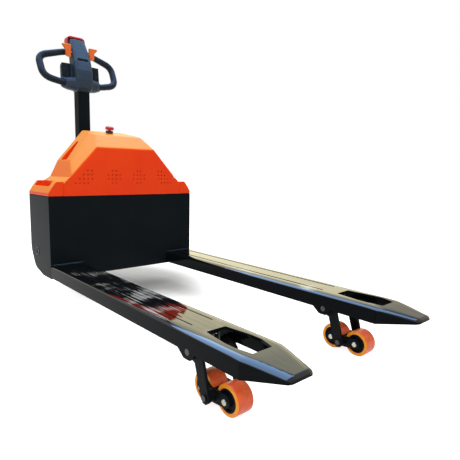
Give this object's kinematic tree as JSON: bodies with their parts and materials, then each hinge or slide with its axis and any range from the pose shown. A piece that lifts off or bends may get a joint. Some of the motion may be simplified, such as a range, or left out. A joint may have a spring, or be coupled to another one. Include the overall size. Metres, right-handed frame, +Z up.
{
  "type": "electric pallet truck",
  "caption": "Walk-behind electric pallet truck with tandem load wheels, lift linkage, steered drive wheel and sprung tiller.",
  "frame": {"origin": "on the floor under the middle of the bounding box", "axes": "+Z up, forks point towards -Y, +X across the truck"},
  "size_m": [0.685, 1.7846, 1.2415],
  "materials": {
    "black_paint": "gloss black powder coat",
    "orange_cover": "moulded, satin gloss",
    "polyurethane": "cast polyurethane, satin",
    "black_casting": "black painted casting",
    "head_plastic": "moulded, fine grain",
    "grip_rubber": "matte",
    "lever_orange": "moulded",
    "signal_red": "moulded",
    "steel": "turned, dull zinc",
    "chrome": "hard chrome",
    "dark_steel": "oiled dark steel",
    "motor_grey": "satin grey enamel",
    "black_plastic": "moulded, fine grain",
    "battery_grey": "moulded"
  },
  "bodies": {
    "drive_frame": {"drive_frame": "black_paint", "lift_cylinder": "dark_steel", "turntable_bearing": "steel"},
    "chassis": {"battery_box": "black_paint", "lift_guides": "black_paint", "fork_left": "black_paint", "fork_right": "black_paint", "cover": "orange_cover", "corner_cap_left": "orange_cover", "corner_cap_right": "orange_cover", "stop_base": "black_plastic", "battery": "battery_grey", "controller": "motor_grey", "hydraulic_unit": "motor_grey", "lift_ram": "chrome", "arm_pin_left": "steel", "arm_pin_right": "steel"},
    "stop_button": {"stop_button": "signal_red"},
    "torsion_shaft": {"torsion_shaft": "dark_steel"},
    "lever_roller": {"lever_roller": "steel"},
    "drive_head": {"drive_housing": "motor_grey", "drive_motor": "motor_grey", "motor_brake": "dark_steel", "motor_cover": "black_plastic", "tiller_base": "black_paint", "tiller_pin": "steel", "tiller_spring": "steel"},
    "drive_wheel": {"drive_hub": "black_casting", "drive_tyre": "polyurethane"},
    "tiller": {"tiller_tube": "black_paint", "head_housing": "head_plastic", "hand_loop_left": "grip_rubber", "hand_loop_right": "grip_rubber", "side_pad_left": "grip_rubber", "side_pad_right": "grip_rubber"},
    "throttle": {"throttle": "lever_orange"},
    "belly_button": {"belly_button": "signal_red"},
    "lift_button": {"lift_button": "grip_rubber"},
    "lower_button": {"lower_button": "grip_rubber"},
    "horn_button": {"horn_button": "grip_rubber"},
    "push_rod_left": {"push_rod_left": "dark_steel"},
    "load_arm_left": {"load_arm_left": "black_casting"},
    "bogie_left": {"bogie_left": "black_casting", "axle_front_left": "steel", "axle_rear_left": "steel"},
    "load_wheel_front_left": {"load_hub_front_left": "black_casting", "load_tyre_front_left": "polyurethane"},
    "load_wheel_rear_left": {"load_hub_rear_left": "black_casting", "load_tyre_rear_left": "polyurethane"},
    "push_rod_right": {"push_rod_right": "dark_steel"},
    "load_arm_right": {"load_arm_right": "black_casting"},
    "bogie_right": {"bogie_right": "black_casting", "axle_front_right": "steel", "axle_rear_right": "steel"},
    "load_wheel_front_right": {"load_hub_front_right": "black_casting", "load_tyre_front_right": "polyurethane"},
    "load_wheel_rear_right": {"load_hub_rear_right": "black_casting", "load_tyre_rear_right": "polyurethane"}
  },
  "joints": [
    {"name": "lift", "type": "slide", "parent": "drive_frame", "child": "chassis", "axis": [0, 0, 1], "range_m": [-0.105, 0]},
    {"name": "steer", "type": "hinge", "parent": "drive_frame", "child": "drive_head", "pos_m": [0, 0.7607, 0.24], "axis": [0, 0, 1], "range_deg": [-90, 90]},
    {"name": "drive_spin", "type": "hinge", "parent": "drive_head", "child": "drive_wheel", "pos_m": [0, 0.7607, 0.105], "axis": [1, 0, 0], "continuous": true},
    {"name": "tiller_tilt", "type": "hinge", "parent": "drive_head", "child": "tiller", "pos_m": [0, 0.7983, 0.6], "axis": [-1, 0, 0], "range_deg": [0, 75], "stiffness_Nm_per_rad": 16, "springref_deg": -20.05},
    {"name": "throttle_turn", "type": "hinge", "parent": "tiller", "child": "throttle", "pos_m": [0, 0.8088, 1.15], "axis": [1, 0, 0], "range_deg": [-25, 25], "stiffness_Nm_per_rad": 0.8},
    {"name": "belly_press", "type": "slide", "parent": "tiller", "child": "belly_button", "axis": [0, -0.2487, -0.9686], "range_m": [0, 0.008], "stiffness_N_per_m": 900, "springref_m": -0.004},
    {"name": "lift_press", "type": "slide", "parent": "tiller", "child": "lift_button", "axis": [0, -1, 0], "range_m": [0, 0.002], "stiffness_N_per_m": 500, "springref_m": -0.002},
    {"name": "lower_press", "type": "slide", "parent": "tiller", "child": "lower_button", "axis": [0, -1, 0], "range_m": [0, 0.002], "stiffness_N_per_m": 500, "springref_m": -0.002},
    {"name": "horn_press", "type": "slide", "parent": "tiller", "child": "horn_button", "axis": [0, -1, 0], "range_m": [0, 0.002], "stiffness_N_per_m": 500, "springref_m": -0.002},
    {"name": "stop_press", "type": "slide", "parent": "chassis", "child": "stop_button", "axis": [0, 0.1725, -0.985], "range_m": [0, 0.004], "stiffness_N_per_m": 900, "springref_m": -0.003},
    {"name": "shaft_turn", "type": "hinge", "parent": "chassis", "child": "torsion_shaft", "pos_m": [0, 0.4207, 0.19835], "axis": [1, 0, 0], "range_deg": [0, 62.7]},
    {"name": "roller_spin", "type": "hinge", "parent": "torsion_shaft", "child": "lever_roller", "pos_m": [0, 0.5071, 0.14585], "axis": [1, 0, 0], "continuous": true},
    {"name": "push_rod_left_slide", "type": "slide", "parent": "chassis", "child": "push_rod_left", "axis": [0, 1, 0], "range_m": [0, 0.0334]},
    {"name": "load_arm_left_swing", "type": "hinge", "parent": "chassis", "child": "load_arm_left", "pos_m": [-0.2725, -0.5893, 0.139], "axis": [1, 0, 0], "range_deg": [-62.7, 0]},
    {"name": "bogie_left_level", "type": "hinge", "parent": "load_arm_left", "child": "bogie_left", "pos_m": [-0.2725, -0.6463, 0.038], "axis": [1, 0, 0], "range_deg": [0, 62.7]},
    {"name": "load_wheel_front_left_spin", "type": "hinge", "parent": "bogie_left", "child": "load_wheel_front_left", "pos_m": [-0.2725, -0.6911, 0.04], "axis": [1, 0, 0], "continuous": true},
    {"name": "load_wheel_rear_left_spin", "type": "hinge", "parent": "bogie_left", "child": "load_wheel_rear_left", "pos_m": [-0.2725, -0.6016, 0.04], "axis": [1, 0, 0], "continuous": true},
    {"name": "push_rod_right_slide", "type": "slide", "parent": "chassis", "child": "push_rod_right", "axis": [0, 1, 0], "range_m": [0, 0.0334]},
    {"name": "load_arm_right_swing", "type": "hinge", "parent": "chassis", "child": "load_arm_right", "pos_m": [0.2725, -0.5893, 0.139], "axis": [1, 0, 0], "range_deg": [-62.7, 0]},
    {"name": "bogie_right_level", "type": "hinge", "parent": "load_arm_right", "child": "bogie_right", "pos_m": [0.2725, -0.6463, 0.038], "axis": [1, 0, 0], "range_deg": [0, 62.7]},
    {"name": "load_wheel_front_right_spin", "type": "hinge", "parent": "bogie_right", "child": "load_wheel_front_right", "pos_m": [0.2725, -0.6911, 0.04], "axis": [1, 0, 0], "continuous": true},
    {"name": "load_wheel_rear_right_spin", "type": "hinge", "parent": "bogie_right", "child": "load_wheel_rear_right", "pos_m": [0.2725, -0.6016, 0.04], "axis": [1, 0, 0], "continuous": true}
  ],
  "couplings": [
    {"joint": "shaft_turn", "follows": "lift", "rad_per_m": -10.395},
    {"joint": "push_rod_left_slide", "follows": "lift", "ratio": -0.31638},
    {"joint": "load_arm_left_swing", "follows": "lift", "rad_per_m": 10.395},
    {"joint": "bogie_left_level", "follows": "lift", "rad_per_m": -10.395},
    {"joint": "push_rod_right_slide", "follows": "lift", "ratio": -0.31638},
    {"joint": "load_arm_right_swing", "follows": "lift", "rad_per_m": 10.395},
    {"joint": "bogie_right_level", "follows": "lift", "rad_per_m": -10.395}
  ]
}
